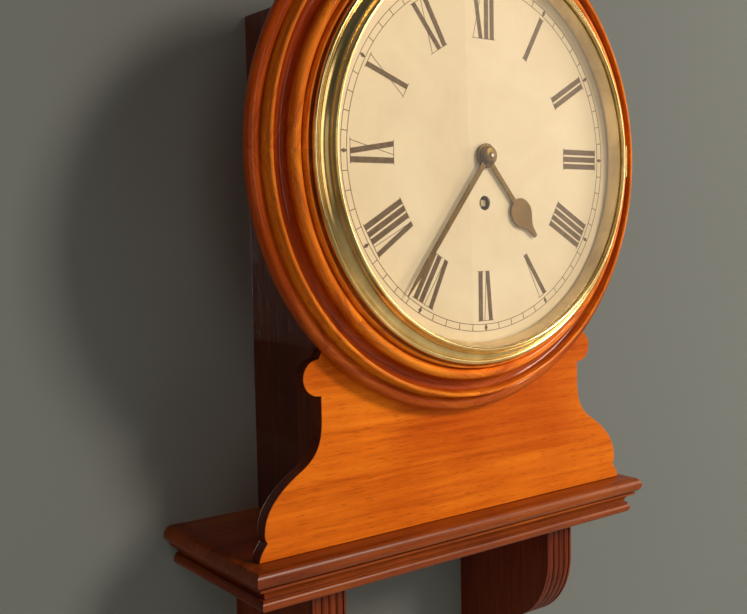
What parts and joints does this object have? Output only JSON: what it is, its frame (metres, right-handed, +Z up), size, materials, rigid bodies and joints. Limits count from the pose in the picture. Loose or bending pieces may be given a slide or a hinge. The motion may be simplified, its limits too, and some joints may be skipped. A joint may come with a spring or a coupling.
{
  "type": "schoolhouse wall clock",
  "caption": "Round-dial wall clock with a turned wooden surround and brass bezel, on a moulded shelf with scroll brackets, with a wound fusee movement and pendulum.",
  "frame": {"origin": "on the wall, at the case's back face, directly behind the hands' axis", "axes": "+Z up, -Y out of the wall towards the viewer, +X to the viewer's right"},
  "size_m": [0.435, 0.1829, 0.75],
  "materials": {
    "mahogany": "French polished",
    "brass": "lacquered, slightly aged",
    "steel": "bright",
    "hand_steel": "browned",
    "dial_paint": "cream, eggshell",
    "glass": "clear, flat"
  },
  "bodies": {
    "case": {"case_back": "mahogany", "case_side_left": "mahogany", "case_side_right": "mahogany", "case_top": "mahogany", "case_bottom": "mahogany", "surround_ring": "mahogany", "batten_left": "mahogany", "batten_right": "mahogany", "peg_left_lower": "mahogany", "peg_left_upper": "mahogany", "peg_right_lower": "mahogany", "peg_right_upper": "mahogany", "apron_board": "mahogany", "shelf_board": "mahogany", "shelf_moulding_front": "mahogany", "shelf_moulding_left": "mahogany", "shelf_moulding_right": "mahogany", "bracket_left": "mahogany", "bracket_right": "mahogany", "hanging_plate": "brass", "bezel_hinge_fixed_leaf": "brass", "front_plate": "brass", "back_plate": "brass", "pillar_1": "brass", "pillar_2": "brass", "pillar_3": "brass", "pillar_4": "brass", "back_cock": "brass", "bezel_hinge_pin": "steel", "barrel_arbor": "steel", "barrel_click": "steel", "minute_stud": "steel", "dial": "dial_paint"},
    "bezel": {"bezel": "brass", "bezel_glass": "glass", "sight_ring": "brass", "bezel_hinge_moving_leaf": "brass"},
    "side_door": {"side_door": "mahogany"},
    "side_door_catch": {"side_door_catch": "brass"},
    "centre": {"centre_arbor": "steel", "centre_wheel": "brass", "cannon_pinion": "steel", "minute_hand": "hand_steel", "hand_collet": "hand_steel"},
    "hour": {"hour_wheel": "brass", "hour_hand": "hand_steel"},
    "minute_wheel": {"minute_wheel": "brass"},
    "third": {"third_arbor": "steel", "third_wheel": "brass"},
    "escape": {"escape_arbor": "steel", "escape_wheel": "brass"},
    "great_wheel": {"great_wheel": "brass"},
    "fusee": {"fusee": "brass"},
    "barrel": {"spring_barrel": "brass"},
    "anchor": {"pallets": "steel", "crutch": "steel"},
    "pendulum": {"suspension_spring": "steel", "pendulum_rod": "steel"},
    "bob": {"pendulum_bob": "brass"},
    "rating_nut": {"rating_nut": "brass"}
  },
  "joints": [
    {"name": "bezel_hinge", "type": "hinge", "parent": "case", "child": "bezel", "pos_m": [0.174, -0.1695, 0], "axis": [0, 0, 1], "range_deg": [0, 115]},
    {"name": "side_door_hinge", "type": "hinge", "parent": "case", "child": "side_door", "pos_m": [0.119, -0.0326, -0.211], "axis": [0, 0, 1], "range_deg": [0, 90]},
    {"name": "side_door_catch_turn", "type": "hinge", "parent": "side_door", "child": "side_door_catch", "pos_m": [0.125, -0.093, -0.211], "axis": [-1, 0, 0], "range_deg": [0, 90]},
    {"name": "minute_hand_turn", "type": "hinge", "parent": "case", "child": "centre", "pos_m": [0, -0.166, 0], "axis": [0, 1, 0], "continuous": true},
    {"name": "hour_hand_turn", "type": "hinge", "parent": "case", "child": "hour", "pos_m": [0, -0.166, 0], "axis": [0, 1, 0], "continuous": true},
    {"name": "minute_wheel_turn", "type": "hinge", "parent": "case", "child": "minute_wheel", "pos_m": [0.024, -0.166, 0], "axis": [0, 1, 0], "continuous": true},
    {"name": "third_wheel_turn", "type": "hinge", "parent": "case", "child": "third", "pos_m": [0.01096, -0.166, 0.02417], "axis": [0, 1, 0], "continuous": true},
    {"name": "escape_wheel_turn", "type": "hinge", "parent": "case", "child": "escape", "pos_m": [0, -0.166, 0.04], "axis": [0, 1, 0], "continuous": true},
    {"name": "great_wheel_turn", "type": "hinge", "parent": "case", "child": "great_wheel", "pos_m": [0, -0.166, -0.0384], "axis": [0, 1, 0], "continuous": true},
    {"name": "winding", "type": "hinge", "parent": "great_wheel", "child": "fusee", "pos_m": [0, -0.166, -0.0384], "axis": [0, 1, 0], "range_deg": [0, 5760]},
    {"name": "barrel_turn", "type": "hinge", "parent": "case", "child": "barrel", "pos_m": [-0.051, -0.166, -0.052], "axis": [0, 1, 0], "range_deg": [0, 3400]},
    {"name": "pendulum_swing", "type": "hinge", "parent": "case", "child": "pendulum", "pos_m": [0, -0.069, 0.0612], "axis": [0, 1, 0], "range_deg": [-3.5, 3.5]},
    {"name": "anchor_rock", "type": "hinge", "parent": "case", "child": "anchor", "pos_m": [0, -0.12, 0.0612], "axis": [0, 1, 0], "range_deg": [-3.5, 3.5]},
    {"name": "bob_height", "type": "slide", "parent": "pendulum", "child": "bob", "axis": [0, 0, 1], "range_m": [-0.004, 0.004]},
    {"name": "rating_nut_turn", "type": "hinge", "parent": "bob", "child": "rating_nut", "pos_m": [0, -0.069, -0.2234], "axis": [0, 0, 1], "range_deg": [-2060, 2060]}
  ],
  "couplings": [
    {"joint": "hour_hand_turn", "follows": "minute_hand_turn", "ratio": 0.083333},
    {"joint": "minute_wheel_turn", "follows": "minute_hand_turn", "ratio": -0.33333},
    {"joint": "third_wheel_turn", "follows": "minute_hand_turn", "ratio": -12},
    {"joint": "escape_wheel_turn", "follows": "minute_hand_turn", "ratio": 120},
    {"joint": "great_wheel_turn", "follows": "minute_hand_turn", "ratio": -0.083333},
    {"joint": "barrel_turn", "follows": "winding", "ratio": 0.58},
    {"joint": "anchor_rock", "follows": "pendulum_swing", "ratio": 1},
    {"joint": "rating_nut_turn", "follows": "bob_height", "rad_per_m": 8976}
  ]
}
